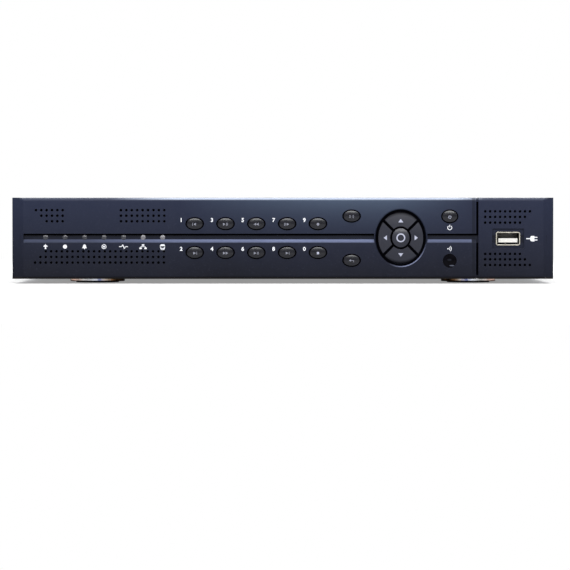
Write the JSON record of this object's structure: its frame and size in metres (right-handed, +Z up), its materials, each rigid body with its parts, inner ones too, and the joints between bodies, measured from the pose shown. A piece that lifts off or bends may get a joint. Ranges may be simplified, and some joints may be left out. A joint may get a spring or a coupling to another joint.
{
  "type": "surveillance video recorder",
  "caption": "Flat black recorder case with a moulded key fascia, arrow pad and front socket; rear panel with camera, audio, network, monitor and power jacks.",
  "frame": {"origin": "on the plane the feet stand on, under the middle of the whole recorder", "axes": "+X right seen from the front, the front faces -Y and the jacks +Y, +Z up"},
  "size_m": [0.312, 0.25, 0.0495],
  "materials": {
    "rear_silver": "pale blue-silver painted sheet steel",
    "cover_black": "black powder coat, fine texture",
    "fascia_plastic": "dark navy moulded plastic, fine grain",
    "key_plastic": "dark glossy keys",
    "lens_plastic": "infrared-clear dark lens",
    "lamp_plastic": "cloudy light pipe",
    "board_green": "solder-masked circuit board",
    "black_plastic": "black moulded plastic",
    "nickel": "bright nickel plating",
    "tin_sheet": "tin-plated folded sheet",
    "white_plastic": "white insulator",
    "red_plastic": "dark red insulator",
    "green_plastic": "dark green terminal header",
    "blue_plastic": "saturated blue insulator",
    "contact_metal": "gold-flashed contact",
    "zinc_steel": "zinc-plated screw",
    "black_screw": "blackened screw",
    "chrome_foot": "polished chrome",
    "rubber_black": "soft rubber",
    "cast_alloy": "cast drive housing",
    "platter_metal": "polished disks",
    "fin_aluminium": "extruded fins",
    "cable_skin": "soft cable insulation"
  },
  "bodies": {
    "case": {"av_port_shell": "tin_sheet", "av_port_tongue": "black_plastic", "base_pan": "rear_silver", "blank_plug": "black_plastic", "bnc_contacts": "contact_metal", "bnc_insulators": "white_plastic", "bnc_shells": "nickel", "board_components": "black_plastic", "case_screws": "black_screw", "contact_pins": "contact_metal", "dc_jack": "black_plastic", "fan_frame": "black_plastic", "foot_pads": "rubber_black", "foot_rings": "chrome_foot", "front_bezel": "fascia_plastic", "front_usb_shell": "tin_sheet", "front_usb_tongue": "white_plastic", "ground_screw": "zinc_steel", "hard_drive_body": "cast_alloy", "heat_sink": "fin_aluminium", "internal_cables": "cable_skin", "ir_window": "lens_plastic", "jack_housings": "black_plastic", "jack_screws": "nickel", "keypad_board": "board_green", "keypad_components": "black_plastic", "lan_usb_insert": "black_plastic", "lan_usb_shell": "tin_sheet", "led_light_pipes": "lamp_plastic", "main_board": "board_green", "monitor_port_insert": "blue_plastic", "monitor_port_shell": "nickel", "rca_inserts_red": "red_plastic", "rca_inserts_white": "white_plastic", "rca_shells": "nickel", "terminal_blocks": "green_plastic", "top_cover": "cover_black", "usb_end_panel": "fascia_plastic"},
    "key_0": {"key_0": "key_plastic"},
    "key_1": {"key_1": "key_plastic"},
    "key_2": {"key_2": "key_plastic"},
    "key_3": {"key_3": "key_plastic"},
    "key_4": {"key_4": "key_plastic"},
    "key_5": {"key_5": "key_plastic"},
    "key_6": {"key_6": "key_plastic"},
    "key_7": {"key_7": "key_plastic"},
    "key_8": {"key_8": "key_plastic"},
    "key_9": {"key_9": "key_plastic"},
    "key_lower": {"key_lower": "key_plastic"},
    "key_ok": {"key_ok": "key_plastic"},
    "key_power": {"key_power": "key_plastic"},
    "key_upper": {"key_upper": "key_plastic"},
    "arrow_down": {"arrow_down": "key_plastic"},
    "arrow_left": {"arrow_left": "key_plastic"},
    "arrow_right": {"arrow_right": "key_plastic"},
    "arrow_up": {"arrow_up": "key_plastic"},
    "fan": {"fan_rotor": "black_plastic"},
    "disks": {"hard_drive_platters": "platter_metal"},
    "head_arm": {"hard_drive_arm": "fin_aluminium"}
  },
  "joints": [
    {"name": "key_0_press", "type": "slide", "parent": "case", "child": "key_0", "axis": [0, 1, 0], "range_m": [0, 0.0006], "stiffness_N_per_m": 300},
    {"name": "key_1_press", "type": "slide", "parent": "case", "child": "key_1", "axis": [0, 1, 0], "range_m": [0, 0.0006], "stiffness_N_per_m": 300},
    {"name": "key_2_press", "type": "slide", "parent": "case", "child": "key_2", "axis": [0, 1, 0], "range_m": [0, 0.0006], "stiffness_N_per_m": 300},
    {"name": "key_3_press", "type": "slide", "parent": "case", "child": "key_3", "axis": [0, 1, 0], "range_m": [0, 0.0006], "stiffness_N_per_m": 300},
    {"name": "key_4_press", "type": "slide", "parent": "case", "child": "key_4", "axis": [0, 1, 0], "range_m": [0, 0.0006], "stiffness_N_per_m": 300},
    {"name": "key_5_press", "type": "slide", "parent": "case", "child": "key_5", "axis": [0, 1, 0], "range_m": [0, 0.0006], "stiffness_N_per_m": 300},
    {"name": "key_6_press", "type": "slide", "parent": "case", "child": "key_6", "axis": [0, 1, 0], "range_m": [0, 0.0006], "stiffness_N_per_m": 300},
    {"name": "key_7_press", "type": "slide", "parent": "case", "child": "key_7", "axis": [0, 1, 0], "range_m": [0, 0.0006], "stiffness_N_per_m": 300},
    {"name": "key_8_press", "type": "slide", "parent": "case", "child": "key_8", "axis": [0, 1, 0], "range_m": [0, 0.0006], "stiffness_N_per_m": 300},
    {"name": "key_9_press", "type": "slide", "parent": "case", "child": "key_9", "axis": [0, 1, 0], "range_m": [0, 0.0006], "stiffness_N_per_m": 300},
    {"name": "key_lower_press", "type": "slide", "parent": "case", "child": "key_lower", "axis": [0, 1, 0], "range_m": [0, 0.0006], "stiffness_N_per_m": 300},
    {"name": "key_ok_press", "type": "slide", "parent": "case", "child": "key_ok", "axis": [0, 1, 0], "range_m": [0, 0.0006], "stiffness_N_per_m": 300},
    {"name": "key_power_press", "type": "slide", "parent": "case", "child": "key_power", "axis": [0, 1, 0], "range_m": [0, 0.0006], "stiffness_N_per_m": 300},
    {"name": "key_upper_press", "type": "slide", "parent": "case", "child": "key_upper", "axis": [0, 1, 0], "range_m": [0, 0.0006], "stiffness_N_per_m": 300},
    {"name": "arrow_down_press", "type": "slide", "parent": "case", "child": "arrow_down", "axis": [0, 1, 0], "range_m": [0, 0.0006], "stiffness_N_per_m": 300},
    {"name": "arrow_left_press", "type": "slide", "parent": "case", "child": "arrow_left", "axis": [0, 1, 0], "range_m": [0, 0.0006], "stiffness_N_per_m": 300},
    {"name": "arrow_right_press", "type": "slide", "parent": "case", "child": "arrow_right", "axis": [0, 1, 0], "range_m": [0, 0.0006], "stiffness_N_per_m": 300},
    {"name": "arrow_up_press", "type": "slide", "parent": "case", "child": "arrow_up", "axis": [0, 1, 0], "range_m": [0, 0.0006], "stiffness_N_per_m": 300},
    {"name": "fan_spin", "type": "hinge", "parent": "case", "child": "fan", "pos_m": [0.1483, -0.06, 0.0266], "axis": [1, 0, 0], "continuous": true},
    {"name": "disk_spin", "type": "hinge", "parent": "case", "child": "disks", "pos_m": [-0.0945, -0.0532, 0.02], "axis": [0, 0, 1], "continuous": true},
    {"name": "head_arm_swing", "type": "hinge", "parent": "case", "child": "head_arm", "pos_m": [-0.033, -0.034, 0.019], "axis": [0, 0, -1], "range_deg": [0, 22]}
  ]
}
